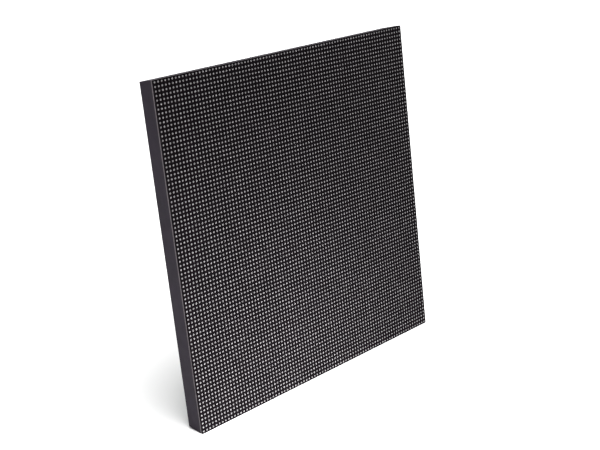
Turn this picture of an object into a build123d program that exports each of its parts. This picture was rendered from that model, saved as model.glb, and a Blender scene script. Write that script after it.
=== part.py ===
from build123d import *

import math
import os

# The panel is modelled as it lies face down on a bench and is then stood up.
# On the bench x runs to the right and y up the panel, both as seen from behind,
# and z is the depth behind the mask's front face. All sizes are millimetres.

# Face and its grid of lamps
PANEL_SIDE = 250.0
PIXELS = 84
PANEL_DEPTH = 17.0

# Mask over the lamps
MASK_WEB = 0.30
MASK_BAR = 0.72
MASK_PIN_DIAMETER = 0.70
MASK_PIN_CLEARANCE = 0.10
MASK_PIN_STEPS = 18

# Lamps and the board that carries them
LAMP_HEIGHT = 0.80
LAMP_CLEARANCE = 0.08
LAMP_GAP = 0.05
BOARD_THICKNESS = 1.60

# Moulded frame behind the board
SIDE_INSET = 1.50
RING_WIDTH = 12.5
RIB_WIDTH = 10.0
OUTER_WALL = 2.20
INNER_WALL = 2.00
FLOOR = 2.50
CROSS_WALL = 1.60
CROSS_WALLS_PER_SIDE = 10
WINDOWS_PER_SIDE = 3
WINDOW_CORNER = 3.0
REAR_CHAMFER = 0.60

# Screws that hold the board to the frame, and the spacers soldered to the board
SPACER_DIAMETER = 5.60
SPACER_HEIGHT = 4.00
SCREW_DIAMETER = 3.00
SCREW_LENGTH = 6.00
SCREW_HEAD_DIAMETER = 5.60
SCREW_HEAD_HEIGHT = 2.20
SCREW_INSET = 7.50
POST_WALL = 1.70
SCREW_CLEARANCE = 0.10
SPACER_CLEARANCE = 0.30
HEAD_CLEARANCE = 0.60

# Brass inserts for the bolts that hold the panel to its cabinet
INSERT_DIAMETER = 5.60
INSERT_BORE = 3.30
INSERT_LENGTH = 8.00
INSERT_RELIEF = 3.00
INSERT_STEPS = 3

# Ribbon cable headers
HEADER_PITCH = 2.54
HEADER_COLUMNS = 2
HEADER_ROWS = 8
HEADER_PIN = 0.64
HEADER_END = 5.06
HEADER_SIDE = 3.18
HEADER_HEIGHT = 9.10
HEADER_WALL = 1.20
HEADER_FLOOR = 2.60
HEADER_KEY = 4.50
HEADER_PIN_RECESS = 1.00
CONNECTOR_RISE = 5.0

# Power connector
POWER_PITCH = 3.96
POWER_PINS = 4
POWER_PIN = 1.14
POWER_END = 1.96
POWER_WIDTH = 8.50
POWER_BASE = 3.40
POWER_HEIGHT = 9.40
POWER_LATCH_WALL = 1.50
POWER_LIP_LENGTH = 8.00
POWER_LIP_HEIGHT = 1.40
POWER_LIP_REACH = 0.60
POWER_PIN_RECESS = 0.60

# Chips on the board's rear: size across, size up the board, height
DRIVER_CHIP = (8.65, 3.90, 1.50)
SWITCH_CHIP = (9.90, 3.90, 1.60)
BUFFER_CHIP = (4.40, 6.50, 1.10)
DRIVERS_PER_ROW = 16
DRIVER_DROP = 24.0
SWITCHES_PER_ROW = 4
SWITCH_RISE = 24.0
SWITCH_PITCH = 40.0
BUFFERS = 3
BUFFER_PITCH = 12.0
BUFFER_OFFSET = 20.0

# Small passive parts
CAPACITOR_DIAMETER = 6.30
CAPACITOR_HEIGHT = 7.70
CAPACITOR_BASE = (6.60, 6.60, 1.20)
CAPACITOR_SPACING = 40.0
CAPACITOR_ROW_PITCH = 18.0
CERAMIC_SIZE = (1.60, 0.80, 0.80)
CERAMIC_RISE = 5.0
ARRAY_SIZE = (1.60, 3.20, 0.60)
ARRAYS = 6
ARRAY_PITCH = 5.0
ARRAY_OFFSET = 16.0

# Depths, from the mask's front face to the rear plane
LAMP_FRONT = MASK_WEB + LAMP_GAP
BOARD_FRONT = LAMP_FRONT + LAMP_HEIGHT
BOARD_REAR = BOARD_FRONT + BOARD_THICKNESS
SEAT = BOARD_REAR + SPACER_HEIGHT
HEAD_SEAT = SEAT + FLOOR
FRAME_DEPTH = PANEL_DEPTH - BOARD_REAR

# Places across the panel
PITCH = PANEL_SIDE / PIXELS
LAMP_SIDE = PITCH - MASK_BAR - 2 * LAMP_CLEARANCE
INNER_SIDE = PANEL_SIDE - 2 * RING_WIDTH
WINDOW_SIDE = (INNER_SIDE - (WINDOWS_PER_SIDE - 1) * RIB_WIDTH) / WINDOWS_PER_SIDE
WINDOW_PITCH = WINDOW_SIDE + RIB_WIDTH
CROSS_PITCH = PANEL_SIDE / CROSS_WALLS_PER_SIDE
DRAFT_ANGLE = math.degrees(math.atan(SIDE_INSET / FRAME_DEPTH))
SCREW_OUT = PANEL_SIDE / 2 - SCREW_INSET
INSERT_RISE = INSERT_STEPS * CROSS_PITCH

# Lying face down on the bench to standing upright, face towards -Y
STAND_UP = Plane(origin=(0, -PANEL_DEPTH / 2, PANEL_SIDE / 2), x_dir=(-1, 0, 0), z_dir=(0, 1, 0))


def block(width, height, low, high, x=0.0, y=0.0):
    """A rectangular solid between two depths, centred on x, y."""
    box = Box(width, height, high - low, align=(Align.CENTER, Align.CENTER, Align.MIN))
    return Pos(x, y, low) * box


def rod(diameter, low, high, x=0.0, y=0.0):
    """A round solid between two depths, centred on x, y."""
    cylinder = Cylinder(diameter / 2, high - low, align=(Align.CENTER, Align.CENTER, Align.MIN))
    return Pos(x, y, low) * cylinder


def rounded_block(side, low, high, radius, x=0.0, y=0.0):
    """A square solid with rounded upright edges between two depths."""
    outline = Pos(x, y, low) * RectangleRounded(side, side, radius)
    return extrude(outline, high - low)


def drafted_block(side, low, high):
    """A square solid that narrows towards the rear by the frame's draft."""
    return extrude(Pos(0, 0, low) * Rectangle(side, side), high - low, taper=DRAFT_ANGLE)


def spread(count, pitch):
    """Evenly spaced places about zero."""
    return [(index - (count - 1) / 2) * pitch for index in range(count)]


def mask_pin_places():
    """Crossings of the lamp grid, counted in from each edge, that hold a mask pin."""
    steps = (MASK_PIN_STEPS, PIXELS - MASK_PIN_STEPS)
    return [(i * PITCH - PANEL_SIDE / 2, j * PITCH - PANEL_SIDE / 2) for i in steps for j in steps]


def rib_crossings():
    ribs = spread(WINDOWS_PER_SIDE - 1, WINDOW_PITCH)
    return [(x, y) for x in ribs for y in ribs]


def screw_places():
    """Board screws: one in each corner of the frame and one where each pair of ribs cross."""
    corners = [(x, y) for x in (-SCREW_OUT, SCREW_OUT) for y in (-SCREW_OUT, SCREW_OUT)]
    return corners + rib_crossings()


def insert_places():
    """Mounting inserts: two up each side of the frame."""
    return [(x, y) for x in (-SCREW_OUT, SCREW_OUT) for y in (-INSERT_RISE, INSERT_RISE)]


def face_mask():
    """Black moulding with a slot for each column of lamps, a rim and locating pins."""
    open_side = PANEL_SIDE - MASK_BAR
    mask = block(PANEL_SIDE, PANEL_SIDE, 0, BOARD_FRONT)
    mask -= block(open_side, open_side, MASK_WEB, BOARD_FRONT)
    mask -= [block(PITCH - MASK_BAR, open_side, 0, MASK_WEB, x=x) for x in spread(PIXELS, PITCH)]
    mask += [rod(MASK_PIN_DIAMETER, MASK_WEB / 2, BOARD_REAR, x, y) for x, y in mask_pin_places()]
    return mask


def led_rows():
    """Rows of lamp packages, soldered to the board and seen through the mask's slots."""
    length = PANEL_SIDE - PITCH + LAMP_SIDE
    return [block(length, LAMP_SIDE, LAMP_FRONT, BOARD_FRONT, y=y) for y in spread(PIXELS, PITCH)]


def led_board():
    """Printed circuit board with a hole for each mask pin."""
    hole = MASK_PIN_DIAMETER + 2 * MASK_PIN_CLEARANCE
    board = block(PANEL_SIDE, PANEL_SIDE, BOARD_FRONT, BOARD_REAR)
    return board - [rod(hole, BOARD_FRONT, BOARD_REAR, x, y) for x, y in mask_pin_places()]


def frame_pockets():
    """Space cored out of the ring and the ribs from behind, between cross walls and posts."""
    low = BOARD_REAR + FLOOR
    outer_side = PANEL_SIDE - 2 * OUTER_WALL - 2 * FLOOR * math.tan(math.radians(DRAFT_ANGLE))
    ring = drafted_block(outer_side, low, PANEL_DEPTH)
    ring -= block(INNER_SIDE + 2 * INNER_WALL, INNER_SIDE + 2 * INNER_WALL, low, PANEL_DEPTH)
    core = RIB_WIDTH - 2 * INNER_WALL
    ribs = spread(WINDOWS_PER_SIDE - 1, WINDOW_PITCH)
    upright = [block(core, INNER_SIDE, HEAD_SEAT, PANEL_DEPTH, x=x) for x in ribs]
    level = [block(INNER_SIDE, core, HEAD_SEAT, PANEL_DEPTH, y=y) for y in ribs]
    places = spread(CROSS_WALLS_PER_SIDE - 1, CROSS_PITCH)
    across = [block(CROSS_WALL, PANEL_SIDE, low, PANEL_DEPTH, x=x) for x in places]
    along = [block(PANEL_SIDE, CROSS_WALL, low, PANEL_DEPTH, y=y) for y in places]
    post = SCREW_HEAD_DIAMETER + 2 * HEAD_CLEARANCE + 2 * POST_WALL
    posts = [rod(post, low, PANEL_DEPTH, x, y) for x, y in screw_places() + insert_places()]
    return ring + upright + level - across - along - posts


def rear_frame():
    """Moulded frame: drafted outside, windows between ribs, cored pockets and screw posts."""
    frame = drafted_block(PANEL_SIDE, BOARD_REAR, PANEL_DEPTH)
    frame = chamfer(frame.faces().sort_by(Axis.Z)[-1].edges(), REAR_CHAMFER)
    places = spread(WINDOWS_PER_SIDE, WINDOW_PITCH)
    frame -= [
        rounded_block(WINDOW_SIDE, BOARD_REAR, PANEL_DEPTH, WINDOW_CORNER, x, y)
        for x in places
        for y in places
    ]
    post = SPACER_DIAMETER + 2 * SPACER_CLEARANCE + 2 * POST_WALL
    under_ribs = rounded_block(INNER_SIDE, BOARD_REAR, SEAT, WINDOW_CORNER)
    under_ribs -= [rod(post, BOARD_REAR, SEAT, x, y) for x, y in rib_crossings()]
    frame -= under_ribs
    frame -= frame_pockets()
    seat_bore = SPACER_DIAMETER + 2 * SPACER_CLEARANCE
    shank_bore = SCREW_DIAMETER + 4 * SCREW_CLEARANCE
    head_bore = SCREW_HEAD_DIAMETER + 2 * HEAD_CLEARANCE
    frame -= [rod(seat_bore, BOARD_REAR, SEAT, x, y) for x, y in screw_places()]
    frame -= [rod(shank_bore, SEAT, HEAD_SEAT, x, y) for x, y in screw_places()]
    frame -= [rod(head_bore, HEAD_SEAT, PANEL_DEPTH, x, y) for x, y in screw_places()]
    seat = PANEL_DEPTH - INSERT_LENGTH
    frame -= [rod(INSERT_DIAMETER, seat, PANEL_DEPTH, x, y) for x, y in insert_places()]
    frame -= [rod(INSERT_BORE, seat - INSERT_RELIEF, seat, x, y) for x, y in insert_places()]
    return frame


def board_spacers():
    """Round threaded spacers soldered to the board, one under each screw."""
    bore = SCREW_DIAMETER + 2 * SCREW_CLEARANCE
    return [
        rod(SPACER_DIAMETER, BOARD_REAR, SEAT, x, y) - rod(bore, BOARD_REAR, SEAT, x, y)
        for x, y in screw_places()
    ]


def frame_screws():
    """Pan-head screws from behind, through each post's floor into its spacer."""
    return [
        rod(SCREW_DIAMETER, HEAD_SEAT - SCREW_LENGTH, HEAD_SEAT, x, y)
        + rod(SCREW_HEAD_DIAMETER, HEAD_SEAT, HEAD_SEAT + SCREW_HEAD_HEIGHT, x, y)
        for x, y in screw_places()
    ]


def mounting_inserts():
    """Brass inserts moulded into the frame, flush with its rear plane."""
    low = PANEL_DEPTH - INSERT_LENGTH
    return [
        rod(INSERT_DIAMETER, low, PANEL_DEPTH, x, y) - rod(INSERT_BORE, low, PANEL_DEPTH, x, y)
        for x, y in insert_places()
    ]


def header_pin_places(x):
    columns = spread(HEADER_COLUMNS, HEADER_PITCH)
    rows = spread(HEADER_ROWS, HEADER_PITCH)
    return [(x + column, CONNECTOR_RISE + row) for column in columns for row in rows]


def header_shroud(x):
    """Open-topped header body with a keyway in the wall that faces the panel's middle."""
    width = (HEADER_COLUMNS - 1) * HEADER_PITCH + 2 * HEADER_SIDE
    length = (HEADER_ROWS - 1) * HEADER_PITCH + 2 * HEADER_END
    top = BOARD_REAR + HEADER_HEIGHT
    floor = BOARD_REAR + HEADER_FLOOR
    shroud = block(width, length, BOARD_REAR, top, x, CONNECTOR_RISE)
    inside = (width - 2 * HEADER_WALL, length - 2 * HEADER_WALL)
    shroud -= block(inside[0], inside[1], floor, top, x, CONNECTOR_RISE)
    inward = x - math.copysign((width - HEADER_WALL) / 2, x)
    shroud -= block(HEADER_WALL, HEADER_KEY, floor, top, inward, CONNECTOR_RISE)
    pins = [block(HEADER_PIN, HEADER_PIN, BOARD_REAR, floor, u, v) for u, v in header_pin_places(x)]
    return shroud - pins


def header_pins(x):
    """Square contact pins standing in the header's floor."""
    tip = BOARD_REAR + HEADER_HEIGHT - HEADER_PIN_RECESS
    return [block(HEADER_PIN, HEADER_PIN, BOARD_REAR, tip, u, v) for u, v in header_pin_places(x)]


def power_pin_places():
    return [(x, CONNECTOR_RISE) for x in spread(POWER_PINS, POWER_PITCH)]


def power_connector_housing():
    """Connector base with a tall latch wall along its upper side and a lip that holds the plug."""
    length = (POWER_PINS - 1) * POWER_PITCH + 2 * POWER_END
    wall_y = CONNECTOR_RISE + (POWER_WIDTH - POWER_LATCH_WALL) / 2
    lip_y = wall_y - (POWER_LATCH_WALL + POWER_LIP_REACH) / 2
    top = BOARD_REAR + POWER_HEIGHT
    base = BOARD_REAR + POWER_BASE
    housing = block(length, POWER_WIDTH, BOARD_REAR, base, y=CONNECTOR_RISE)
    housing += block(length, POWER_LATCH_WALL, BOARD_REAR, top, y=wall_y)
    housing += block(POWER_LIP_LENGTH, POWER_LIP_REACH, top - POWER_LIP_HEIGHT, top, y=lip_y)
    return housing - [block(POWER_PIN, POWER_PIN, BOARD_REAR, base, x, y) for x, y in power_pin_places()]


def power_connector_pins():
    tip = BOARD_REAR + POWER_HEIGHT - POWER_PIN_RECESS
    return [block(POWER_PIN, POWER_PIN, BOARD_REAR, tip, x, y) for x, y in power_pin_places()]


def on_board(size, x, y):
    """A plain rectangular part of the given size, seated on the board's rear."""
    width, length, height = size
    return block(width, length, BOARD_REAR, BOARD_REAR + height, x, y)


def band_places():
    """Middle heights of the lamp rows' three scan groups, which the windows follow."""
    return spread(WINDOWS_PER_SIDE, WINDOW_PITCH)


def driver_places():
    pitch = INNER_SIDE / DRIVERS_PER_ROW
    return [(x, y - DRIVER_DROP) for y in band_places() for x in spread(DRIVERS_PER_ROW, pitch)]


def driver_chips(colour):
    """Every third column driver, for one colour of lamp."""
    return [on_board(DRIVER_CHIP, x, y) for x, y in driver_places()[colour::3]]


def row_switch_chips():
    columns = spread(SWITCHES_PER_ROW, SWITCH_PITCH)
    return [on_board(SWITCH_CHIP, x, y + SWITCH_RISE) for y in band_places() for x in columns]


def buffer_chips():
    """Signal buffers beside the input header."""
    x = -WINDOW_PITCH + BUFFER_OFFSET
    return [on_board(BUFFER_CHIP, x, y) for y in spread(BUFFERS, BUFFER_PITCH)]


def ceramic_capacitors():
    """One decoupling capacitor above each column driver."""
    return [on_board(CERAMIC_SIZE, x, y + CERAMIC_RISE) for x, y in driver_places()]


def resistor_arrays():
    """Series resistor arrays beside the output header."""
    x = WINDOW_PITCH - ARRAY_OFFSET
    return [on_board(ARRAY_SIZE, x, y) for y in spread(ARRAYS, ARRAY_PITCH)]


def capacitor_places():
    """Four beside the power connector and one in the middle of each corner window."""
    near = [(x, y) for x in spread(2, CAPACITOR_SPACING) for y in spread(2, CAPACITOR_ROW_PITCH)]
    corners = [(x, y) for x in (-WINDOW_PITCH, WINDOW_PITCH) for y in (-WINDOW_PITCH, WINDOW_PITCH)]
    return near + corners


def capacitor_bases():
    return [on_board(CAPACITOR_BASE, x, y) for x, y in capacitor_places()]


def capacitor_cans():
    """Cans seated on their moulded bases."""
    low = BOARD_REAR + CAPACITOR_BASE[2]
    top = BOARD_REAR + CAPACITOR_HEIGHT
    return [rod(CAPACITOR_DIAMETER, low, top, x, y) for x, y in capacitor_places()]


def write(name, shape):
    """Stand the piece up and write it as one file named after its node."""
    pieces = shape if isinstance(shape, list) else [shape]
    solids = [solid for piece in pieces for solid in piece.solids()]
    upright = [solid.moved(STAND_UP.location) for solid in solids]
    export_step(upright[0] if len(upright) == 1 else Compound(upright), f"parts/{name}.step")


os.makedirs("parts", exist_ok=True)

write("face_mask", face_mask())
write("led_rows", led_rows())
write("led_board", led_board())
write("rear_frame", rear_frame())
write("board_spacers", board_spacers())
write("frame_screws", frame_screws())
write("mounting_inserts", mounting_inserts())
write("input_header_shroud", header_shroud(-WINDOW_PITCH))
write("input_header_pins", header_pins(-WINDOW_PITCH))
write("output_header_shroud", header_shroud(WINDOW_PITCH))
write("output_header_pins", header_pins(WINDOW_PITCH))
write("power_connector_housing", power_connector_housing())
write("power_connector_pins", power_connector_pins())
write("red_driver_chips", driver_chips(0))
write("green_driver_chips", driver_chips(1))
write("blue_driver_chips", driver_chips(2))
write("row_switch_chips", row_switch_chips())
write("buffer_chips", buffer_chips())
write("ceramic_capacitors", ceramic_capacitors())
write("resistor_arrays", resistor_arrays())
write("capacitor_bases", capacitor_bases())
write("capacitor_cans", capacitor_cans())
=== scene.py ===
import math

import bmesh
import bpy
import numpy as np
from mathutils import Euler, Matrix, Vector


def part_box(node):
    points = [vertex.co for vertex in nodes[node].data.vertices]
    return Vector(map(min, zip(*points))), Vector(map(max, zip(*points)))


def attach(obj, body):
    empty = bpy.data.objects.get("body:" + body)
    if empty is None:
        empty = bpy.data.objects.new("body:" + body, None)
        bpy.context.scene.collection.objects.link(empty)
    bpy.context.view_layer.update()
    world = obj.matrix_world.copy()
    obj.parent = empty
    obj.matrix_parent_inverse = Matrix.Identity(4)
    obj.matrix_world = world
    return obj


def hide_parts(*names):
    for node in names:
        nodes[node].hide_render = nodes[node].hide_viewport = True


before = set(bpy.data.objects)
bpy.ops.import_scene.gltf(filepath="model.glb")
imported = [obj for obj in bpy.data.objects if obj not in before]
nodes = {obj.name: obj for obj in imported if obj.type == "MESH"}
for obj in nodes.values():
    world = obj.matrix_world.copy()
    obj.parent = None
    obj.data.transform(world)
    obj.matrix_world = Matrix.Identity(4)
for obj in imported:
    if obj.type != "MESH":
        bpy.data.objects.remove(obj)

MM = 0.001
scene = bpy.context.scene
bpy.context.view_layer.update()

# Lamps along each side, and the grid and layers that follow from the frame
PIXELS = 84
MASK_LOW, MASK_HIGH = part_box("face_mask")
SIDE = MASK_HIGH.x - MASK_LOW.x
PITCH = SIDE / PIXELS
FACE_Y = MASK_LOW.y
LAMP_LOW, LAMP_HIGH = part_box("led_rows")
BOARD_FRONT_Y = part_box("led_board")[0].y
BOARD_REAR_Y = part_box("led_board")[1].y

# Mask windows taper from the face to the board, as the mould's draft leaves them
WINDOW_FACE = PITCH - 0.66 * MM
WINDOW_BACK = PITCH - 0.80 * MM

# Pins of the mask: diameter, steps in from the corner, sunk root, and the tip's length and taper
MASK_PIN = 0.70 * MM
MASK_PIN_STEPS = 18
MASK_PIN_SIDES = 16
MASK_PIN_ROOT = 0.15 * MM
MASK_PIN_TIP = 0.15 * MM
MASK_PIN_TAPER = 0.10 * MM

# Lamp package: body, cup in its face, gap round its cap of epoxy, and the dies that show in it
LAMP_SIDE = 2.10 * MM
LAMP_MOUTH = 1.62 * MM
LAMP_FLOOR = 1.44 * MM
LAMP_CUP = 0.09 * MM
LENS_GAP = 0.01 * MM
DIE_SPACING = 0.40 * MM
DIE_RADIUS = 0.13 * MM

# Round shapes: sides of a plain one, of a knurl and of a small cup, and where a cup's first point lies
ROUND_SIDES = 24
KNURL_SIDES = 48
CUP_SIDES = 8
CUP_START = math.radians(225) - math.pi / CUP_SIDES

# Leads of the chips: count on each side, pitch, breadth, thickness and reach from the body
DRIVER_LEADS = (12, 0.635 * MM, 0.25 * MM, 0.20 * MM, 1.05 * MM)
SWITCH_LEADS = (8, 1.27 * MM, 0.41 * MM, 0.22 * MM, 1.05 * MM)
BUFFER_LEADS = (10, 0.65 * MM, 0.22 * MM, 0.15 * MM, 1.00 * MM)

# One lead: foot on its pad, root inside the body, where its two faces bend, and its heel
LEAD_FOOT = 0.55 * MM
LEAD_ROOT = 0.05 * MM
LEAD_LOWER_BEND = 0.28 * MM
LEAD_UPPER_BEND = 0.40 * MM
LEAD_HEEL = 0.10 * MM

# Chip bodies: stand-off, what their base and top lose to the draft, parting line and dimple
CHIP_STANDOFF = 0.08 * MM
CHIP_BASE_DRAFT = 0.30 * MM
CHIP_TOP_DRAFT = 0.36 * MM
PARTING_HALF = 0.05 * MM
DIMPLE_RADIUS = 0.34 * MM
DIMPLE_FLOOR = 0.26 * MM
DIMPLE_DEPTH = 0.07 * MM
DIMPLE_INSET = 0.85 * MM

# Lines and printing on the board
TRACE_WIDTH = 0.20 * MM
TRACE_HEIGHT = 0.035 * MM
PRINT_LINE = 0.15 * MM
PRINT_HEIGHT = 0.02 * MM
PRINT_MARGIN = 0.35 * MM
PRINT_DOT = 0.22 * MM
PRINT_DOT_GAP = 0.50 * MM
PRINT_DOT_SIDES = 12

# Vias: outer and hole's radius, their sloped edges, and heights of the ring and of the hole's floor
VIA_RADIUS = 0.30 * MM
VIA_HOLE = VIA_RADIUS / 3
VIA_SLOPE = 0.04 * MM
VIA_HOLE_SLOPE = 0.02 * MM
VIA_TOP = 1.5 * TRACE_HEIGHT
VIA_FLOOR = 0.5 * TRACE_HEIGHT
VIA_SIDES = 10

# How much longer and broader than a lead's foot its pad is, at the base and at the top
PAD_BASE = (0.50 * MM, 0.14 * MM)
PAD_TOP = (0.44 * MM, 0.08 * MM)

# How the chips' lines fan out to their vias: the first two are in millimetres
FAN_START = 0.9
FAN_STEP = 0.75
FAN_COUNT = 3
VIA_OFFSET = 0.35 * MM

# Painted vias and lines behind each lamp, in shares of its cell: a line is its place and half its width
CELL_VIAS = ((0.22, 0.0, 0.30), (0.72, 0.0, 0.78))
CELL_VIA_RADIUS = 0.085
UPRIGHT_LINE = (0.47, 0.035)
LEVEL_LINE = (0.54, 0.035)
SHORT_LINE = (0.30, 0.025)

# Share of the lamps' rows that have no level line
ROWS_WITHOUT_LEVEL = 0.45

# Lists of pairs below are in millimetres: a ring's inset or narrowing, or a fillet's reach, then its rise

# Ceramic capacitors: body short of each end, plated ends, and a fillet of solder at each
CERAMIC_BARE = 0.25 * MM
CERAMIC_END = 0.32 * MM
CERAMIC_BODY_FOOT = ((0.06, 0.02), (0.02, 0.08))
CERAMIC_BODY_CROWN = ((0.02, -0.10), (0.12, -0.02))
CERAMIC_END_FOOT = ((0.06, 0.0), (0.0, 0.06))
CERAMIC_END_CROWN = ((0.0, -0.08), (0.12, 0.0))
CERAMIC_FILLET = ((-0.05, 0.0), (0.38, 0.0), (0.20, 0.08), (0.07, 0.24), (0.0, 0.52), (-0.05, 0.52))

# Resistor arrays: body and its eased top, then the terminals that wrap round its sides
ARRAY_BARE = 0.18 * MM
ARRAY_LIFT = 0.02 * MM
ARRAY_SHOULDER = 0.10 * MM
ARRAY_EASE = 0.08 * MM
ARRAY_TERMINALS = 4
ARRAY_TERMINAL = 0.42 * MM
ARRAY_WRAP = 0.30 * MM
ARRAY_FILLET = ((0.25, 0.0), (0.08, 0.10))
ARRAY_ROUNDING = 0.06 * MM

# Capacitor bases: lift off the board, cut corners, eased top edge and soldered tabs
BASE_LIFT = 0.05 * MM
BASE_CORNER = 1.30 * MM
BASE_TOP_CORNER = 1.25 * MM
BASE_EDGE = 0.15 * MM
TAB_WIDTH = 0.75 * MM
TAB_LENGTH = 2.20 * MM
TAB_HEIGHT = 0.18 * MM
TAB_INSET = 0.20 * MM

# Capacitor cans: crimp and rim, sunk top, vent as arm and half width of its cross, and the dark mark
CAN_CRIMP = ((0.12, 0.0), (0.0, 0.12), (0.0, 0.65), (0.30, 0.95), (0.30, 1.10), (0.0, 1.40))
CAN_RIM = ((0.0, -0.30), (0.08, -0.08), (0.26, 0.0), (0.42, 0.0), (0.50, -0.08))
CAN_SINK = 0.08 * MM
VENT_MOUTH = (1.35 * MM, 0.10 * MM)
VENT_FLOOR = (1.32 * MM, 0.05 * MM)
VENT_DEPTH = 0.16 * MM
MARK_INSET = 0.58 * MM
MARK_EDGE = 1.55 * MM
MARK_DEPTHS = (0.09 * MM, 0.06 * MM)
MARK_STEPS = 10

# Contact pins: side of the tip and length of its taper
HEADER_TIP = (0.26 * MM, 0.70 * MM)
POWER_TIP = (0.60 * MM, 1.00 * MM)

# Feet of the header pins
FOOT_REACH = 1.1 * MM
FOOT_THICKNESS = 0.28 * MM
FOOT_TIP = 0.16 * MM
FOOT_BEVEL = 0.12 * MM

# Board screws of 3 mm: shank, thread, neck under the head, head, and the cross recess
SCREW_RADIUS = 1.5 * MM
SCREW_TIP = ((0.35, 0.0),)
SCREW_THREAD = 0.5 * MM
SCREW_THREAD_DEPTH = 0.27 * MM
SCREW_THREAD_START = 0.2 * MM
SCREW_THREAD_STOP = 0.4 * MM
SCREW_NECK = ((0.20, -0.20), (0.0, 0.0))
SCREW_HEAD = 2.2 * MM
HEAD_SEAT = ((0.08, 0.0), (0.0, 0.12))
HEAD_CROWN = ((0.0, -1.15), (0.12, -0.62), (0.48, -0.20), (1.0, 0.0))
RECESS_MOUTH = (1.45 * MM, 0.36 * MM)
RECESS_FLOOR = (0.85 * MM, 0.26 * MM)
RECESS_DEPTH = 1.2 * MM

# Inserts for bolts of 4 mm: nose, knurled bands with a groove between, collar and bore
INSERT_NOSE = ((0.25, 0.0),)
LOWER_KNURL = (0.25 * MM, 3.2 * MM)
INSERT_GROOVE = ((0.40, 3.40), (0.40, 4.40))
UPPER_KNURL_START = 4.6 * MM
UPPER_KNURL_STOP = 0.6 * MM
KNURL_DEPTH = 0.12 * MM
INSERT_COLLAR = ((0.12, -0.45), (0.12, 0.0))
INSERT_BORE = 1.65 * MM
INSERT_CREST = 2.0 * MM
INSERT_MOUTH = 0.1 * MM
INSERT_THREAD = 0.7 * MM
INSERT_THREAD_START = 0.3 * MM
INSERT_THREAD_STOP = 0.4 * MM

# Spacers that the screws enter: solder fillet as negative insets, eased end and bore
SPACER_FILLET = ((-0.24, 0.0), (-0.10, 0.12), (0.0, 0.42))
SPACER_EDGE = ((0.0, -0.20), (0.20, 0.0))
SPACER_BORE = 1.6 * MM
SPACER_MOUTH = 0.15 * MM

# Sockets of Blender's colour mix node
MIX_FIRST = 6
MIX_SECOND = 7
MIX_RESULT = 2


# Closed shapes, each a list of points and a list of faces

def lofted(*rings, loop=False):
    """A closed shape through rings of equally many points; a loop joins the last ring to the first."""
    count = len(rings[0])
    points = [point for ring in rings for point in ring]
    starts = list(range(0, len(points), count))
    pairs = list(zip(starts, starts[1:]))
    if loop:
        pairs.append((starts[-1], 0))
        faces = []
    else:
        faces = [tuple(range(count)), tuple(range(starts[-1], len(points)))]
    for low, high in pairs:
        for k in range(count):
            after = (k + 1) % count
            faces.append((low + k, low + after, high + after, high + k))
    return points, faces


def oblong(width, length, y, x=0.0, z=0.0):
    """Corners of a rectangle at one height, from the lower left corner."""
    half = width / 2
    rise = length / 2
    corners = ((-half, -rise), (half, -rise), (half, rise), (-half, rise))
    return [(x + a, y, z + b) for a, b in corners]


def stacked(width, length, height, foot, crown, x=0.0):
    """Rectangles from (narrowing, rise) pairs in millimetres, the crown's taken from the top."""
    return [
        oblong(width, length - narrowing * MM, level + rise * MM, x)
        for level, pairs in ((0.0, foot), (height, crown)) for narrowing, rise in pairs
    ]


def cut_oblong(width, length, corner, y):
    """A rectangle whose two upper corners are cut and whose lower ones are barely eased."""
    half = width / 2
    rise = length / 2
    ease = corner / 6
    return [
        (ease - half, y, -rise), (half - ease, y, -rise),
        (half, y, ease - rise), (half, y, rise - corner),
        (half - corner, y, rise), (corner - half, y, rise),
        (-half, y, rise - corner), (-half, y, ease - rise),
    ]


def circle(radius, y, sides=ROUND_SIDES, x=0.0, z=0.0, start=0.0):
    """Points of a circle at one height."""
    angles = [start + 2 * math.pi * k / sides for k in range(sides)]
    return [(x + radius * math.cos(angle), y, z + radius * math.sin(angle)) for angle in angles]


def lathed(radius, level, pairs, sides=ROUND_SIDES):
    """Circles from (inset, rise) pairs in millimetres, taken from a radius and a level."""
    return [circle(radius - inset * MM, level + rise * MM, sides) for inset, rise in pairs]


def cross(arm, half, y):
    """Outline of a cross with a point in the middle of each edge, as many as a plain circle has."""
    quarter = [(arm, -half), (arm, half), (half, half)]
    corners = []
    for _ in range(4):
        corners += quarter
        quarter = [(-z, x) for x, z in quarter]
    outline = []
    for (x, z), (next_x, next_z) in zip(corners, corners[1:] + corners[:1]):
        outline += [(x, y, z), ((x + next_x) / 2, y, (z + next_z) / 2)]
    return outline


def prism(profile, breadth):
    """A side view in x and y, drawn out along z."""
    return lofted(*[[(x, y, z) for x, y in profile] for z in (-breadth / 2, breadth / 2)])


def cupped(rings, radius, floor_radius, depth, x=0.0, z=0.0):
    """A stack of four-cornered rings with a shallow round cup in its last face."""
    sides = CUP_SIDES
    points, faces = lofted(*rings)
    faces.remove(tuple(range(len(points) - 4, len(points))))
    corner = len(points) - 4
    mouth = len(points)
    floor = mouth + sides
    face_y = rings[-1][0][1]
    inward = math.copysign(depth, rings[0][0][1] - face_y)
    points = points + circle(radius, face_y, sides, x, z, CUP_START)
    points = points + circle(floor_radius, face_y + inward, sides, x, z, CUP_START)
    for k in range(4):
        first = mouth + 2 * k
        following = mouth + (2 * k + 2) % sides
        faces.append((corner + k, first, first + 1))
        faces.append((corner + k, first + 1, following, corner + (k + 1) % 4))
    for k in range(sides):
        after = (k + 1) % sides
        faces.append((mouth + k, mouth + after, floor + after, floor + k))
    faces.append(tuple(range(floor, floor + sides)))
    return points, faces


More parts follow.
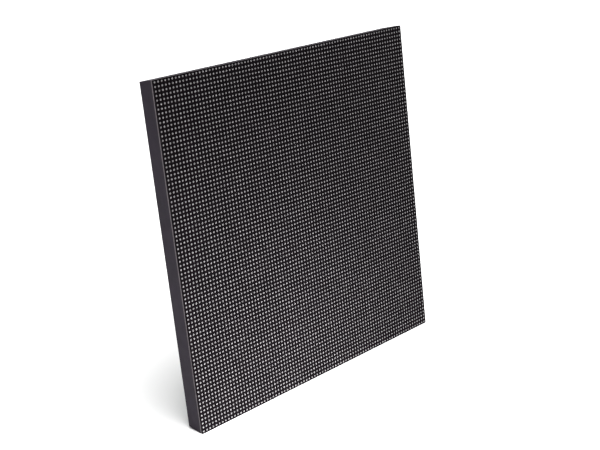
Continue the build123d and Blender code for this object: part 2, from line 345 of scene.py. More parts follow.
def ribbon(path, width, height):
    """A thin flat strip along a path in x and z, lying on the board."""
    left, right = [], []
    for k, (x, z) in enumerate(path):
        back = path[max(k - 1, 0)]
        ahead = path[min(k + 1, len(path) - 1)]
        along = Vector((ahead[0] - back[0], ahead[1] - back[1])).normalized() * (width / 2)
        left.append((x - along.y, z + along.x))
        right.append((x + along.y, z - along.x))
    outline = left + right[::-1]
    return lofted(*[[(x, y, z) for x, z in outline] for y in (0.0, height)])


def shifted(shape, x=0.0, y=0.0, z=0.0):
    points, faces = shape
    return [(a + x, b + y, c + z) for a, b, c in points], faces


def mirrored(shape):
    points, faces = shape
    return [(-x, y, z) for x, y, z in points], faces


def quarter_turned(shape):
    points, faces = shape
    return [(z, y, -x) for x, y, z in points], faces


def joined(*shapes):
    points, faces = [], []
    for more_points, more_faces in shapes:
        start = len(points)
        points += more_points
        faces += [tuple(index + start for index in face) for face in more_faces]
    return points, faces


def outward(shape):
    """The same shape with every face turned outwards."""
    points, faces = shape
    mesh = bmesh.new()
    corners = [mesh.verts.new(point) for point in points]
    for face in faces:
        mesh.faces.new([corners[index] for index in face])
    mesh.verts.index_update()
    bmesh.ops.recalc_face_normals(mesh, faces=mesh.faces)
    turned = [tuple(corner.index for corner in face.verts) for face in mesh.faces]
    mesh.free()
    return points, turned


def repeated(shape, places):
    """One shape, copied to each place."""
    points, faces = outward(shape)
    points = np.asarray(points, float)
    moved = (points[None, :, :] + np.asarray(places, float)[:, None, :]).reshape(-1, 3)
    count = len(points)
    copies = [tuple(index + k * count for index in face) for k in range(len(places)) for face in faces]
    return moved.tolist(), copies


def new_object(name, shape, smooth_angle=None):
    """A mesh object; edges blunter than the angle are shaded smooth."""
    points, faces = shape
    mesh = bpy.data.meshes.new(name)
    mesh.from_pydata(points, [], faces)
    mesh.update()
    item = bpy.data.objects.new(name, mesh)
    scene.collection.objects.link(item)
    if smooth_angle:
        mesh.shade_smooth()
        mesh.set_sharp_from_angle(angle=math.radians(smooth_angle))
    else:
        mesh.shade_flat()
    return item


def add_piece(name, shape, material, slot, *replaced, smooth_angle=None):
    """A piece of the panel with its material, standing for its CAD nodes; the slot is not used."""
    item = new_object(name, shape, smooth_angle)
    item.data.materials.append(material)
    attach(item, "root")
    if replaced:
        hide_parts(*replaced)
    return item


def solid_boxes(node):
    """Lowest and highest corners of each separate solid in a CAD node, from its mesh."""
    mesh = bmesh.new()
    mesh.from_mesh(nodes[node].data)
    bmesh.ops.remove_doubles(mesh, verts=mesh.verts, dist=0.001 * MM)
    seen = set()
    boxes = []
    for first in mesh.verts:
        if first in seen:
            continue
        seen.add(first)
        island = [first]
        for corner in island:
            for edge in corner.link_edges:
                other = edge.other_vert(corner)
                if other not in seen:
                    seen.add(other)
                    island.append(other)
        places = np.array([corner.co for corner in island])
        boxes.append((Vector(places.min(axis=0)), Vector(places.max(axis=0))))
    mesh.free()
    return boxes


def seats(node):
    """Where each solid of a node stands: the middle of its side towards the board."""
    return [((low.x + high.x) / 2, low.y, (low.z + high.z) / 2) for low, high in solid_boxes(node)]


def solid_size(node):
    low, high = solid_boxes(node)[0]
    return high - low


# Materials

def new_material(name, colour, roughness, metallic=0.0, specular=0.5):
    """A material with its shader's uniform values set on the shader's own sockets."""
    material = bpy.data.materials.new(name)
    material.use_nodes = True
    shader = material.node_tree.nodes["Principled BSDF"]
    shader.inputs["Base Color"].default_value = (*colour, 1.0)
    shader.inputs["Roughness"].default_value = roughness
    shader.inputs["Metallic"].default_value = metallic
    shader.inputs["Specular IOR Level"].default_value = specular
    return material


def shader_of(material):
    return material.node_tree.nodes["Principled BSDF"]


def join(material, source, target):
    material.node_tree.links.new(source, target)


def add_node(material, kind, *values, **settings):
    """A node with its properties set; each value or link goes to the next input."""
    node = material.node_tree.nodes.new(kind)
    for key, value in settings.items():
        setattr(node, key, value)
    for socket, value in zip(node.inputs, values):
        if isinstance(value, bpy.types.NodeSocket):
            join(material, value, socket)
        elif value is not None:
            socket.default_value = value
    return node


def arithmetic(material, operation, *values):
    return add_node(material, "ShaderNodeMath", *values, operation=operation).outputs["Value"]


def vectors(material, operation, *values):
    return add_node(material, "ShaderNodeVectorMath", *values, operation=operation).outputs["Vector"]


def place_of(material):
    """The surface point in the object's own frame, in metres."""
    return add_node(material, "ShaderNodeTexCoord").outputs["Object"]


def noise(material, scale, detail=2.0):
    """Noise at a number of lumps a metre."""
    node = add_node(material, "ShaderNodeTexNoise")
    node.inputs["Scale"].default_value = scale
    node.inputs["Detail"].default_value = detail
    join(material, place_of(material), node.inputs["Vector"])
    return node.outputs["Fac"]


def ramp(material, source, stops, interpolation="LINEAR"):
    """A colour ramp over (position, colour) stops."""
    node = add_node(material, "ShaderNodeValToRGB", source)
    node.color_ramp.interpolation = interpolation
    points = node.color_ramp.elements
    while len(points) < len(stops):
        points.new(0.5)
    for point, (position, colour) in zip(points, stops):
        point.position = position
        point.color = (*colour, 1.0)
    return node.outputs["Color"]


def between(material, source, low, high):
    """Maps 0..1 to low..high."""
    node = add_node(material, "ShaderNodeMapRange", source)
    node.inputs["To Min"].default_value = low
    node.inputs["To Max"].default_value = high
    return node.outputs["Result"]


def mixed(material, share, first, second):
    """The first colour, with the second where the share is one."""
    node = add_node(material, "ShaderNodeMix", data_type="RGBA")
    join(material, share, node.inputs["Factor"])
    for socket, value in ((node.inputs[MIX_FIRST], first), (node.inputs[MIX_SECOND], second)):
        if isinstance(value, bpy.types.NodeSocket):
            join(material, value, socket)
        else:
            socket.default_value = (*value, 1.0)
    return node.outputs[MIX_RESULT]


def paint(material, colour):
    join(material, colour, shader_of(material).inputs["Base Color"])


def polish(material, roughness):
    join(material, roughness, shader_of(material).inputs["Roughness"])


def relief(material, height, depth):
    """Surface relief of that depth in metres."""
    node = add_node(material, "ShaderNodeBump")
    node.inputs["Distance"].default_value = depth
    join(material, height, node.inputs["Height"])
    join(material, node.outputs["Normal"], shader_of(material).inputs["Normal"])


def scaled(colour, factor):
    return tuple(min(1.0, channel * factor) for channel in colour)


def moulded(name, colour, roughness, grain=2500.0, depth=0.02 * MM, specular=0.5):
    """Moulded plastic: cloudy colour, uneven gloss and a fine eroded grain."""
    material = new_material(name, colour, roughness, specular=specular)
    clouds = noise(material, 60.0, 3.0)
    paint(material, ramp(material, clouds, [(0.3, scaled(colour, 0.86)), (0.7, scaled(colour, 1.14))]))
    polish(material, between(material, noise(material, 180.0), roughness - 0.06, roughness + 0.06))
    relief(material, noise(material, grain, 3.0), depth)
    return material


def plated(name, colour, roughness, grain=1500.0, depth=0.01 * MM):
    """Plated or solid metal: clouded tone, uneven gloss and faint pits."""
    material = new_material(name, colour, roughness, metallic=1.0)
    clouds = noise(material, 400.0, 4.0)
    paint(material, ramp(material, clouds, [(0.25, scaled(colour, 0.78)), (0.75, scaled(colour, 1.08))]))
    polish(material, between(material, noise(material, 900.0), roughness - 0.10, roughness + 0.12))
    relief(material, noise(material, grain, 4.0), depth)
    return material


def pixel_place(material):
    """The place within the lamp grid, in pitches, with no depth."""
    return vectors(material, "MULTIPLY", place_of(material), (1 / PITCH, 0.0, 1 / PITCH))


def within_pixel(material):
    """The place within one lamp's own cell, in pitches from its corner."""
    return vectors(material, "FRACTION", pixel_place(material))


def near(material, place, spot, radius):
    """One inside a round spot of a cell, zero outside it."""
    gap = add_node(material, "ShaderNodeVectorMath", place, spot, operation="DISTANCE").outputs["Value"]
    return arithmetic(material, "LESS_THAN", gap, radius)


def lamp_epoxy():
    """Pale epoxy over three dies; each lamp is a little lighter or darker than the next."""
    material = new_material("lamp_epoxy", (0.24, 0.235, 0.23), 0.35)
    cell = vectors(material, "FLOOR", pixel_place(material))
    chance = add_node(material, "ShaderNodeTexWhiteNoise", cell, noise_dimensions="3D").outputs["Value"]
    colour = ramp(material, chance, [(0.0, (0.152, 0.148, 0.151)), (1.0, (0.210, 0.204, 0.208))])
    dies = ((-1, (0.18, 0.125, 0.12)), (0, (0.135, 0.165, 0.125)), (1, (0.125, 0.135, 0.17)))
    for step, tint in dies:
        spot = (0.5, 0.0, 0.5 + step * DIE_SPACING / PITCH)
        share = near(material, within_pixel(material), spot, DIE_RADIUS / PITCH)
        colour = mixed(material, share, colour, tint)
    paint(material, colour)
    polish(material, between(material, noise(material, 3000.0), 0.28, 0.44))
    relief(material, noise(material, 2500.0), 0.006 * MM)
    return material


def board_material():
    """Laminate edges with painted shade at their rear, black mask in front, and green mask behind with vias
    and lines for each lamp.
    """
    material = new_material("circuit_board", (0.03, 0.07, 0.04), 0.4)
    normal = add_node(material, "ShaderNodeNewGeometry").outputs["Normal"]
    facing = add_node(material, "ShaderNodeSeparateXYZ", normal).outputs["Y"]
    side = arithmetic(material, "MULTIPLY_ADD", facing, 0.5, 0.5)
    is_rear = arithmetic(material, "GREATER_THAN", facing, 0.5)
    is_edge = arithmetic(material, "LESS_THAN", arithmetic(material, "ABSOLUTE", facing), 0.5)
    depth = add_node(material, "ShaderNodeSeparateXYZ", place_of(material)).outputs["Y"]
    layer = add_node(material, "ShaderNodeMapRange", depth, BOARD_FRONT_Y, BOARD_REAR_Y).outputs["Result"]
    # Edge of the board, front to rear: a pale core between darker outer layers, and the rear band darkened
    # further as painted shade of the gap beside the frame
    pale = (0.148, 0.133, 0.144)
    stops = [(0.0, (0.10, 0.09, 0.10)), (0.15, pale), (0.60, pale), (0.80, (0.035, 0.032, 0.036))]
    laminate = ramp(material, layer, stops)
    front_and_rear = [(0.0, (0.012, 0.012, 0.013)), (0.5, (0.012, 0.060, 0.030))]
    faces = ramp(material, side, front_and_rear, "CONSTANT")
    zones = mixed(material, is_edge, faces, laminate)
    cell = within_pixel(material)
    parts = add_node(material, "ShaderNodeSeparateXYZ", cell)
    row = add_node(material, "ShaderNodeSeparateXYZ", vectors(material, "FLOOR", pixel_place(material)))
    via, second_via = [near(material, cell, spot, CELL_VIA_RADIUS) for spot in CELL_VIAS]
    upright = arithmetic(material, "COMPARE", parts.outputs["X"], *UPRIGHT_LINE)
    level = arithmetic(material, "COMPARE", parts.outputs["Z"], *LEVEL_LINE)
    short = arithmetic(material, "COMPARE", parts.outputs["Z"], *SHORT_LINE)
    chance = add_node(material, "ShaderNodeTexWhiteNoise", noise_dimensions="1D")
    join(material, row.outputs["Z"], chance.inputs["W"])
    has_level = arithmetic(material, "GREATER_THAN", chance.outputs["Value"], ROWS_WITHOUT_LEVEL)
    lines = arithmetic(material, "MAXIMUM", upright, arithmetic(material, "MULTIPLY", level, has_level))
    lines = arithmetic(material, "MAXIMUM", lines, short)
    vias = arithmetic(material, "MAXIMUM", via, second_via)
    copper = arithmetic(material, "MAXIMUM", lines, vias)
    rear_copper = arithmetic(material, "MULTIPLY", copper, is_rear)
    colour = mixed(material, rear_copper, zones, (0.020, 0.105, 0.048))
    colour = mixed(material, arithmetic(material, "MULTIPLY", vias, is_rear), colour, (0.030, 0.080, 0.045))
    weave = noise(material, 1200.0, 3.0)
    shade = ramp(material, weave, [(0.3, (0.82, 0.82, 0.82)), (0.7, (1.12, 1.12, 1.12))])
    tinted = add_node(material, "ShaderNodeMix", data_type="RGBA", blend_type="MULTIPLY")
    tinted.inputs["Factor"].default_value = 1.0
    join(material, colour, tinted.inputs[MIX_FIRST])
    join(material, shade, tinted.inputs[MIX_SECOND])
    paint(material, tinted.outputs[MIX_RESULT])
    polish(material, between(material, is_edge, 0.34, 0.75))
    relief(material, arithmetic(material, "MULTIPLY_ADD", weave, 0.15, rear_copper), 0.03 * MM)
    return material


# Mask

def window_lines(low, opening):
    """Edges of the windows along one side of the face, with the face's own edges."""
    middles = [low + (k + 0.5) * PITCH for k in range(PIXELS)]
    edges = [edge for middle in middles for edge in (middle - opening / 2, middle + opening / 2)]
    return [low] + edges + [low + SIDE]


def mask_lattice():
    """The mask as one lattice with a tapered square window for each lamp."""
    points = []
    for opening, y in ((WINDOW_FACE, FACE_Y), (WINDOW_BACK, BOARD_FRONT_Y)):
        across = window_lines(MASK_LOW.x, opening)
        upward = window_lines(MASK_LOW.z, opening)
        points += [(x, y, z) for z in upward for x in across]
    lines = 2 * PIXELS + 2
    back = lines * lines
    last = lines - 1
    faces = []
    rim = []
    for row in range(last):
        for column in range(last):
            corner = row * lines + column
            ring = (corner, corner + 1, corner + lines + 1, corner + lines)
            is_window = row % 2 and column % 2
            if is_window:
                rim += [(ring[k], ring[(k + 1) % 4]) for k in range(4)]
            else:
                faces.append(ring)
                faces.append(tuple(index + back for index in reversed(ring)))
    for k in range(last):
        rim += [(k + 1, k), (last * lines + k, last * lines + k + 1)]
        rim += [(k * lines, (k + 1) * lines), ((k + 1) * lines + last, k * lines + last)]
    faces += [(b + back, a + back, a, b) for a, b in rim]
    return points, faces


def mask_pins():
    """Pins that locate the mask in the board's holes."""
    radius = MASK_PIN / 2
    pin = lofted(
        circle(radius, FACE_Y + MASK_PIN_ROOT, MASK_PIN_SIDES),
        circle(radius, BOARD_REAR_Y - MASK_PIN_TIP, MASK_PIN_SIDES),
        circle(radius - MASK_PIN_TAPER, BOARD_REAR_Y, MASK_PIN_SIDES),
    )
    steps = (MASK_PIN_STEPS, PIXELS - MASK_PIN_STEPS)
    places = [(MASK_LOW.x + i * PITCH, 0.0, MASK_LOW.z + j * PITCH) for i in steps for j in steps]
    return repeated(pin, places)


# Lamps

def lamp_places():
    low_x = MASK_LOW.x + PITCH / 2
    low_z = MASK_LOW.z + PITCH / 2
    return [(low_x + i * PITCH, 0.0, low_z + j * PITCH) for j in range(PIXELS) for i in range(PIXELS)]


def lamp_body():
    """One package: a square body with a shallow round cup in its face."""
    rings = [oblong(LAMP_SIDE, LAMP_SIDE, y) for y in (LAMP_HIGH.y, LAMP_LOW.y)]
    return cupped(rings, LAMP_MOUTH / 2, LAMP_FLOOR / 2, LAMP_CUP)


def lamp_lens():
    """A thin cap of epoxy over the cup, standing very slightly proud in its middle."""
    radius = LAMP_MOUTH / 2 - LENS_GAP
    ring = circle(radius, LAMP_LOW.y + 2 * LENS_GAP, CUP_SIDES, start=CUP_START)
    points = ring + [(0.0, LAMP_LOW.y - LENS_GAP, 0.0)]
    sides = [(k, (k + 1) % CUP_SIDES, CUP_SIDES) for k in range(CUP_SIDES)]
    return points, [tuple(range(CUP_SIDES))] + sides


# Chips

def chip_body(width, length, height):
    """Moulded package with drafted sides, a parting line and a dimple beside its first lead."""
    rings = [
        oblong(width - CHIP_BASE_DRAFT, length - CHIP_BASE_DRAFT, CHIP_STANDOFF),
        oblong(width, length, height / 2 - PARTING_HALF),
        oblong(width, length, height / 2 + PARTING_HALF),
        oblong(width - CHIP_TOP_DRAFT, length - CHIP_TOP_DRAFT, height),
    ]
    x = DIMPLE_INSET - width / 2
    z = length / 2 - DIMPLE_INSET
    return cupped(rings, DIMPLE_RADIUS, DIMPLE_FLOOR, DIMPLE_DEPTH, x, z)


def lead_places(count, pitch):
    return [(k - (count - 1) / 2) * pitch for k in range(count)]


def chip_leads(width, height, leads):
    """Gull-wing leads down both sides, from the parting line to the board."""
    count, pitch, breadth, thickness, reach = leads
    start = width / 2 - LEAD_ROOT
    end = width / 2 + reach
    foot = end - LEAD_FOOT
    exit_low = height / 2 - thickness / 2
    exit_high = height / 2 + thickness / 2
    profile = [
        (start, exit_low), (start + LEAD_LOWER_BEND, exit_low), (foot - LEAD_HEEL, 0.0), (end, 0.0),
        (end, thickness), (foot, thickness), (start + LEAD_UPPER_BEND, exit_high), (start, exit_high),
    ]
    lead = prism(profile, breadth)
    row = [shifted(lead, z=z) for z in lead_places(count, pitch)]
    return joined(*row, *[mirrored(shape) for shape in row])


def chip_traces(width, leads):
    """A line from each lead to its own via, stepped so that the vias stand clear of each other."""
    count, pitch, breadth, _, reach = leads
    start = width / 2 + reach - LEAD_FOOT / 2
    row = []
    for k, z in enumerate(lead_places(count, pitch)):
        out = start + (FAN_START + FAN_STEP * (k % FAN_COUNT)) * MM
        end = out + VIA_OFFSET
        path = [(start, z), (out, z), (end, z + VIA_OFFSET)]
        row.append(ribbon(path, TRACE_WIDTH, TRACE_HEIGHT))
        via = lofted(
            circle(VIA_RADIUS, 0.0, VIA_SIDES),
            circle(VIA_RADIUS - VIA_SLOPE, VIA_TOP, VIA_SIDES),
            circle(VIA_HOLE, VIA_TOP, VIA_SIDES),
            circle(VIA_HOLE - VIA_HOLE_SLOPE, VIA_FLOOR, VIA_SIDES),
        )
        row.append(shifted(via, x=end, z=z + VIA_OFFSET))
        pad = lofted(*[
            oblong(LEAD_FOOT + longer, breadth + broader, y)
            for (longer, broader), y in ((PAD_BASE, 0.0), (PAD_TOP, TRACE_HEIGHT))
        ])
        row.append(shifted(pad, x=start, z=z))
    return joined(*row, *[mirrored(shape) for shape in row])


def printed_outline(width, length):
    """A printed line round a part, with no lettering."""
    line = 2 * PRINT_LINE
    outer = [oblong(width, length, y) for y in (0.0, PRINT_HEIGHT)]
    inner = [oblong(width - line, length - line, y) for y in (PRINT_HEIGHT, 0.0)]
    return lofted(*outer, *inner, loop=True)


def make_chips(node, name, leads, materials):
    """Bodies, leads, lines and printed outlines for one kind of chip."""
    size = solid_size(node)
    lies_across = size.x > size.z
    width, length = sorted((size.x, size.z)) if lies_across else (size.x, size.z)
    turn = quarter_turned if lies_across else (lambda shape: shape)
    places = seats(node)
    *_, reach = leads
    outline_width = width + 2 * (reach + PRINT_MARGIN)
    outline = printed_outline(outline_width, length + 2 * PRINT_MARGIN)
    dot_x = -outline_width / 2 - PRINT_DOT_GAP
    heights = (0.0, PRINT_HEIGHT)
    dot = lofted(*[circle(PRINT_DOT, y, PRINT_DOT_SIDES, dot_x, length / 2) for y in heights])
    add_piece(
        f"{name}_bodies", repeated(turn(chip_body(width, length, size.y)), places),
        materials["chip"], "chip_epoxy", node,
    )
    add_piece(
        f"{name}_leads", repeated(turn(chip_leads(width, size.y, leads)), places),
        materials["tin"], "spacer_tin",
    )
    add_piece(
        f"{name}_lines", repeated(turn(chip_traces(width, leads)), places),
        materials["line"], "board_laminate",
    )
    add_piece(
        f"{name}_print", repeated(turn(joined(outline, dot)), places),
        materials["print"], "board_laminate",
    )


# Passive parts

def ceramic_capacitor(size):
    """Tan body and its two plated ends, each with a solder fillet down to the board."""
    width = size.x - 2 * CERAMIC_BARE
    body = lofted(*stacked(width, size.z, size.y, CERAMIC_BODY_FOOT, CERAMIC_BODY_CROWN))
    out = size.x / 2
    middle = out - CERAMIC_END / 2
    end = lofted(*stacked(CERAMIC_END, size.z, size.y, CERAMIC_END_FOOT, CERAMIC_END_CROWN, middle))
    fillet = prism([(out + along * MM, rise * MM) for along, rise in CERAMIC_FILLET], size.z)
    ends = joined(end, fillet)
    return body, joined(ends, mirrored(ends))


def resistor_array(size):
    """Flat array with four wrapped terminals down each side."""
    width = size.x - 2 * ARRAY_BARE
    top = size.y
    rings = ((ARRAY_LIFT, 0.0), (top - ARRAY_SHOULDER, 0.0), (top - ARRAY_LIFT, ARRAY_EASE))
    body = lofted(*[oblong(width - 2 * ease, size.z - 2 * ease, y) for y, ease in rings])
    out = size.x / 2
    profile = [(out - ARRAY_WRAP, 0.0)]
    profile += [(out + along * MM, rise * MM) for along, rise in ARRAY_FILLET]
    profile += [(out, top - ARRAY_ROUNDING), (out - ARRAY_ROUNDING, top), (out - ARRAY_WRAP, top)]
    terminal = prism(profile, ARRAY_TERMINAL)
    row = [shifted(terminal, z=z) for z in lead_places(ARRAY_TERMINALS, size.z / ARRAY_TERMINALS)]
    return body, joined(*row, *[mirrored(shape) for shape in row])


def capacitor_base(size):
    """Moulded base with two cut corners, and its two soldered tabs."""
    base = lofted(
        cut_oblong(size.x, size.z, BASE_CORNER, BASE_LIFT),
        cut_oblong(size.x, size.z, BASE_CORNER, size.y - BASE_EDGE),
        cut_oblong(size.x - 2 * BASE_EDGE, size.z - 2 * BASE_EDGE, BASE_TOP_CORNER, size.y),
    )
    tabs = [
        lofted(*[oblong(TAB_WIDTH, TAB_LENGTH, y, 0.0, z) for y in (0.0, TAB_HEIGHT)])
        for z in (size.z / 2 - TAB_INSET, TAB_INSET - size.z / 2)
    ]
    return base, joined(*tabs)


def capacitor_can(size):
    """Drawn can: crimped groove, rolled top edge, sunk top and a scored cross to vent it."""
    radius = size.x / 2
    top = size.y
    return lofted(
        *lathed(radius, 0.0, CAN_CRIMP),
        *lathed(radius, top, CAN_RIM),
        cross(*VENT_MOUTH, top - CAN_SINK),
        cross(*VENT_FLOOR, top - VENT_DEPTH),
    )


def capacitor_mark(size):
    """Plain dark half-moon that marks the can's negative side."""
    radius = size.x / 2 - MARK_INSET
    reach = math.acos(MARK_EDGE / radius)
    angles = [-math.pi / 2 - reach + 2 * reach * k / MARK_STEPS for k in range(MARK_STEPS + 1)]
    segment = [(radius * math.cos(angle), radius * math.sin(angle)) for angle in angles]
    return lofted(*[[(x, size.y - depth, z) for x, z in segment] for depth in MARK_DEPTHS])


# Connectors, screws, spacers and inserts

def contact_pin(size, tip, taper):
    """Square pin with a tapered tip."""
    return lofted(
        oblong(size.x, size.z, 0.0),
        oblong(size.x, size.z, size.y - taper),
        oblong(tip, tip, size.y),
    )


def header_feet(node, shroud):
    """Flat feet that run out under the shroud from each pin to the board."""
    pin = solid_size(node)
    low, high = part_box(shroud)
    middle = (low.x + high.x) / 2
    reach = (high.x - low.x) / 2 + FOOT_REACH
    shapes = []
    for x, y, z in seats(node):
        side = math.copysign(1.0, x - middle)
        start = abs(x - middle)
        profile = [
            (start, 0.0), (reach, 0.0), (reach, FOOT_TIP),
            (reach - FOOT_BEVEL, FOOT_THICKNESS), (start, FOOT_THICKNESS),
        ]
        foot = prism(profile, pin.z)
        foot = foot if side > 0 else mirrored(foot)
        shapes.append(shifted(foot, middle, y, z))
    return outward(joined(*shapes))


def thread(inner, outer, low, high, pitch, sides=ROUND_SIDES):
    """Rings of a thread's crests and roots."""
    turns = int((high - low) / pitch)
    step = (high - low) / turns
    rings = []
    for k in range(turns):
        rings.append(circle(outer, low + (k + 0.25) * step, sides))
        rings.append(circle(inner, low + (k + 0.75) * step, sides))
    return rings


def pan_head_screw(size):
    """Pan-head screw with a cross recess and a threaded shank."""
    head_radius = size.x / 2
    top = size.y
    seat = top - SCREW_HEAD
    root = SCREW_RADIUS - SCREW_THREAD_DEPTH
    return lofted(
        *lathed(SCREW_RADIUS, 0.0, SCREW_TIP),
        *thread(root, SCREW_RADIUS, SCREW_THREAD_START, seat - SCREW_THREAD_STOP, SCREW_THREAD),
        *lathed(SCREW_RADIUS, seat, SCREW_NECK),
        *lathed(head_radius, seat, HEAD_SEAT),
        *lathed(head_radius, top, HEAD_CROWN),
        cross(*RECESS_MOUTH, top),
        cross(*RECESS_FLOOR, top - RECESS_DEPTH),
    )


def knurled(radius, y):
    """A ring whose points stand in and out by turns."""
    return [
        (x * (1 - k % 2 * KNURL_DEPTH / radius), y, z * (1 - k % 2 * KNURL_DEPTH / radius))
        for k, (x, y, z) in enumerate(circle(radius, y, KNURL_SIDES))
    ]


def threaded_insert(size):
    """Brass insert: two knurled bands with a groove between, and a threaded bore."""
    radius = size.x / 2
    sides = KNURL_SIDES
    top = size.y
    outside = [
        *lathed(radius, 0.0, INSERT_NOSE, sides),
        *[knurled(radius, y) for y in LOWER_KNURL],
        *lathed(radius, 0.0, INSERT_GROOVE, sides),
        *[knurled(radius, y) for y in (UPPER_KNURL_START, top - UPPER_KNURL_STOP)],
        *lathed(radius, top, INSERT_COLLAR, sides),
    ]
    thread_top = top - INSERT_THREAD_STOP
    inside = thread(INSERT_BORE, INSERT_CREST, INSERT_THREAD_START, thread_top, INSERT_THREAD, sides)
    inside.reverse()
    mouth = circle(INSERT_CREST + INSERT_MOUTH, top, sides)
    end = circle(INSERT_CREST, 0.0, sides)
    return lofted(*outside, mouth, *inside, end, loop=True)


def solder_spacer(size):
    """Tinned spacer with eased ends and the solder fillet that holds it to the board."""
    radius = size.x / 2
    top = size.y
    return lofted(
        *lathed(radius, 0.0, SPACER_FILLET),
        *lathed(radius, top, SPACER_EDGE),
        circle(SPACER_BORE + SPACER_MOUTH, top),
        circle(SPACER_BORE, top - SPACER_MOUTH),
        circle(SPACER_BORE, 0.0),
        loop=True,
    )


def dress(node, material):
    """Gives a carried-over CAD node its material."""
    nodes[node].data.materials.clear()
    nodes[node].data.materials.append(material)


# The panel, put together

mask_plastic = moulded("mask_plastic", (0.0100, 0.0077, 0.0096), 0.55, 6000.0, 0.010 * MM, specular=0.06)
lamp_plastic = moulded("lamp_plastic", (0.011, 0.0085, 0.0105), 0.50, 9000.0, 0.005 * MM, specular=0.08)
frame_plastic = moulded("frame_plastic", (0.0170, 0.0105, 0.0210), 0.48, 2200.0, 0.03 * MM, specular=0.30)
materials = {
    "chip": moulded("chip_epoxy", (0.012, 0.012, 0.013), 0.58, 7000.0, 0.012 * MM),
    "tin": plated("tin_plate", (0.62, 0.62, 0.63), 0.34),
    "line": moulded("masked_copper", (0.020, 0.105, 0.048), 0.36, 1500.0, 0.008 * MM),
    "print": moulded("printed_ink", (0.72, 0.73, 0.70), 0.65, 4000.0, 0.010 * MM),
}
connector_plastic = moulded("connector_plastic", (0.014, 0.014, 0.014), 0.42, 3000.0, 0.015 * MM)
power_plastic = moulded("power_plastic", (0.66, 0.63, 0.55), 0.45, 2500.0, 0.015 * MM)
ceramic = moulded("ceramic", (0.30, 0.19, 0.10), 0.45, 5000.0, 0.010 * MM)
array_glass = moulded("array_glass", (0.015, 0.015, 0.018), 0.30, 5000.0, 0.006 * MM)
can_metal = plated("can_metal", (0.50, 0.50, 0.51), 0.36, 900.0, 0.006 * MM)
gold = plated("gold_plate", (0.80, 0.58, 0.24), 0.28)
brass = plated("brass", (0.72, 0.52, 0.22), 0.32)
zinc = plated("zinc_plate", (0.40, 0.41, 0.43), 0.36)

add_piece("mask_lattice", joined(mask_lattice(), mask_pins()), mask_plastic, "mask_black", "face_mask")
lamps = lamp_places()

# The lamp bodies are two pieces, so that each stays under 200,000 triangles
halfway = len(lamps) // 2
for name, places in (("lower", lamps[:halfway]), ("upper", lamps[halfway:])):
    add_piece(f"lamp_bodies_{name}", repeated(lamp_body(), places), lamp_plastic, "lamp_black", "led_rows")
add_piece("lamp_lenses", repeated(lamp_lens(), lamps), lamp_epoxy(), "lamp_black", "led_rows")

for colour in ("red", "green", "blue"):
    make_chips(f"{colour}_driver_chips", f"{colour}_driver", DRIVER_LEADS, materials)
make_chips("row_switch_chips", "row_switch", SWITCH_LEADS, materials)
make_chips("buffer_chips", "buffer", BUFFER_LEADS, materials)

for node, builder, body_name, body_material, slot in (
    ("ceramic_capacitors", ceramic_capacitor, "ceramic", ceramic, "ceramic_tan"),
    ("resistor_arrays", resistor_array, "array", array_glass, "array_black"),
    ("capacitor_bases", capacitor_base, "base", connector_plastic, "can_base"),
):
    body, metal = builder(solid_size(node))
    add_piece(f"{body_name}_bodies", repeated(body, seats(node)), body_material, slot, node)
    add_piece(f"{body_name}_terminals", repeated(metal, seats(node)), materials["tin"], "spacer_tin")

can = solid_size("capacitor_cans")
can_seats = seats("capacitor_cans")
add_piece(
    "capacitor_can_shells", repeated(capacitor_can(can), can_seats), can_metal, "can_aluminium",
    "capacitor_cans", smooth_angle=35,
)
add_piece("capacitor_marks", repeated(capacitor_mark(can), can_seats), materials["chip"], "can_base")

for side in ("input", "output"):
    node = f"{side}_header_pins"
    pin = contact_pin(solid_size(node), *HEADER_TIP)
    add_piece(f"{side}_header_contacts", repeated(pin, seats(node)), gold, "contact_gold", node)
    feet = header_feet(node, f"{side}_header_shroud")
    add_piece(f"{side}_header_feet", feet, materials["tin"], "spacer_tin")
    dress(f"{side}_header_shroud", connector_plastic)
power_pin = contact_pin(solid_size("power_connector_pins"), *POWER_TIP)
add_piece(
    "power_contacts", repeated(power_pin, seats("power_connector_pins")), materials["tin"],
    "power_contact", "power_connector_pins",
)
dress("power_connector_housing", power_plastic)

for node, builder, name, material, slot in (
    ("frame_screws", pan_head_screw, "pan_head_screws", zinc, "screw_steel"),
    ("mounting_inserts", threaded_insert, "threaded_inserts", brass, "insert_brass"),
    ("board_spacers", solder_spacer, "solder_spacers", materials["tin"], "spacer_tin"),
):
    shape = repeated(builder(solid_size(node)), seats(node))
    add_piece(name, shape, material, slot, node, smooth_angle=35)

dress("rear_frame", frame_plastic)
dress("led_board", board_material())


# Stage, light and camera

FLOOR_SIZE = 40.0
BACKDROP_RADIUS = 6.0
WORLD_STRENGTH = 0.38

floor_corners = [(x, y, 0.0) for x, _, y in oblong(FLOOR_SIZE, FLOOR_SIZE, 0.0)]
floor = new_object("floor", (floor_corners, [(0, 1, 2, 3)]))
floor.data.materials.append(new_material("floor_white", (0.86, 0.86, 0.86), 0.9, specular=0.1))


def add_backdrop(radius):
    """A pale dome over the panel that the camera sees and that throws no light."""
    dome = bmesh.new()
    bmesh.ops.create_uvsphere(dome, u_segments=48, v_segments=24, radius=radius)
    mesh = bpy.data.meshes.new("backdrop")
    dome.to_mesh(mesh)
    dome.free()
    material = new_material("backdrop_white", (1.0, 1.0, 1.0), 1.0, specular=0.0)
    shader_of(material).inputs["Emission Color"].default_value = (1.0, 1.0, 1.0, 1.0)
    shader_of(material).inputs["Emission Strength"].default_value = 1.0
    mesh.materials.append(material)
    backdrop = bpy.data.objects.new("backdrop", mesh)
    backdrop.visible_diffuse = False
    backdrop.visible_glossy = False
    backdrop.visible_transmission = False
    backdrop.visible_shadow = False
    scene.collection.objects.link(backdrop)


add_backdrop(BACKDROP_RADIUS)

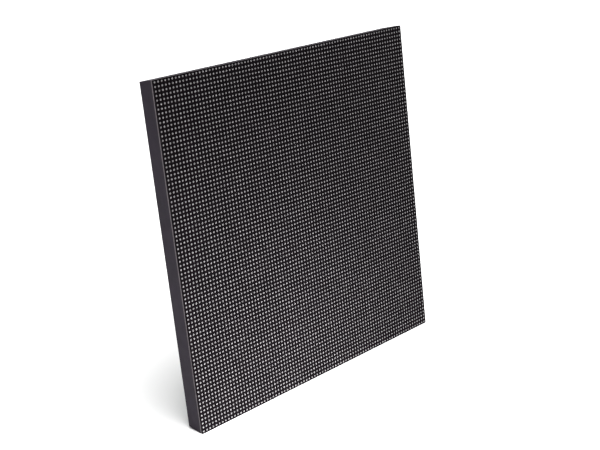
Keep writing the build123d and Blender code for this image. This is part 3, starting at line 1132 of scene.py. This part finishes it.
world = bpy.data.worlds.new("studio")
scene.world = world
world.use_nodes = True
background = world.node_tree.nodes["Background"]
background.inputs["Color"].default_value = (1.0, 1.0, 1.0, 1.0)
background.inputs["Strength"].default_value = WORLD_STRENGTH


def add_light(name, kind, place, aim, energy, **settings):
    """A light at one place, aimed at another and not seen by the camera."""
    data = bpy.data.lights.new(name, kind)
    data.energy = energy
    for key, value in settings.items():
        setattr(data, key, value)
    item = bpy.data.objects.new(name, data)
    item.location = place
    item.rotation_euler = (Vector(aim) - Vector(place)).to_track_quat("-Z", "Y").to_euler()
    item.visible_camera = False
    scene.collection.objects.link(item)


add_light(
    "key", "SUN", place=(-0.24, -0.97, 1.76), aim=(0.0, 0.0, 0.0), energy=2.9, angle=math.radians(50),
)
add_light(
    "face_fill", "SPOT", place=(0.25, -1.25, 0.25), aim=(-0.105, 0.0, -0.14), energy=162.0,
    spot_size=math.radians(24.8), spot_blend=1.0, shadow_soft_size=0.15,
)
add_light(
    "side_pool", "SPOT", place=(-0.36, -0.10, 1.2), aim=(-0.36, -0.10, 0.0), energy=138.0,
    spot_size=math.radians(15), spot_blend=1.0, shadow_soft_size=0.05,
)
add_light(
    "rear_fill", "SPOT", place=(0.45, 1.30, 0.14), aim=(0.0, 0.0, 0.125), energy=40.0,
    spot_size=math.radians(18), spot_blend=0.5, shadow_soft_size=0.20,
)

# The photograph's view, fitted to the lamp grid
FOCAL_PIXELS = 1158.5
IMAGE_WIDTH = 600
SENSOR = 36.0
CAMERA_PLACE = (-0.5835, -0.6081, 0.3423)
CAMERA_HEADING = -43.80
CAMERA_DIP = 14.88
CAMERA_ROLL = -6.43

camera_data = bpy.data.cameras.new("camera")
camera_data.sensor_width = SENSOR
camera_data.lens = FOCAL_PIXELS * SENSOR / IMAGE_WIDTH
camera = bpy.data.objects.new("camera", camera_data)
scene.collection.objects.link(camera)
camera.location = CAMERA_PLACE
turn = Euler((math.radians(90 - CAMERA_DIP), 0.0, math.radians(CAMERA_HEADING))).to_matrix()
roll = Euler((0.0, 0.0, math.radians(CAMERA_ROLL))).to_matrix()
camera.rotation_euler = (turn @ roll).to_euler()
scene.camera = camera

scene.view_settings.view_transform = "Standard"
scene.view_settings.look = "High Contrast"
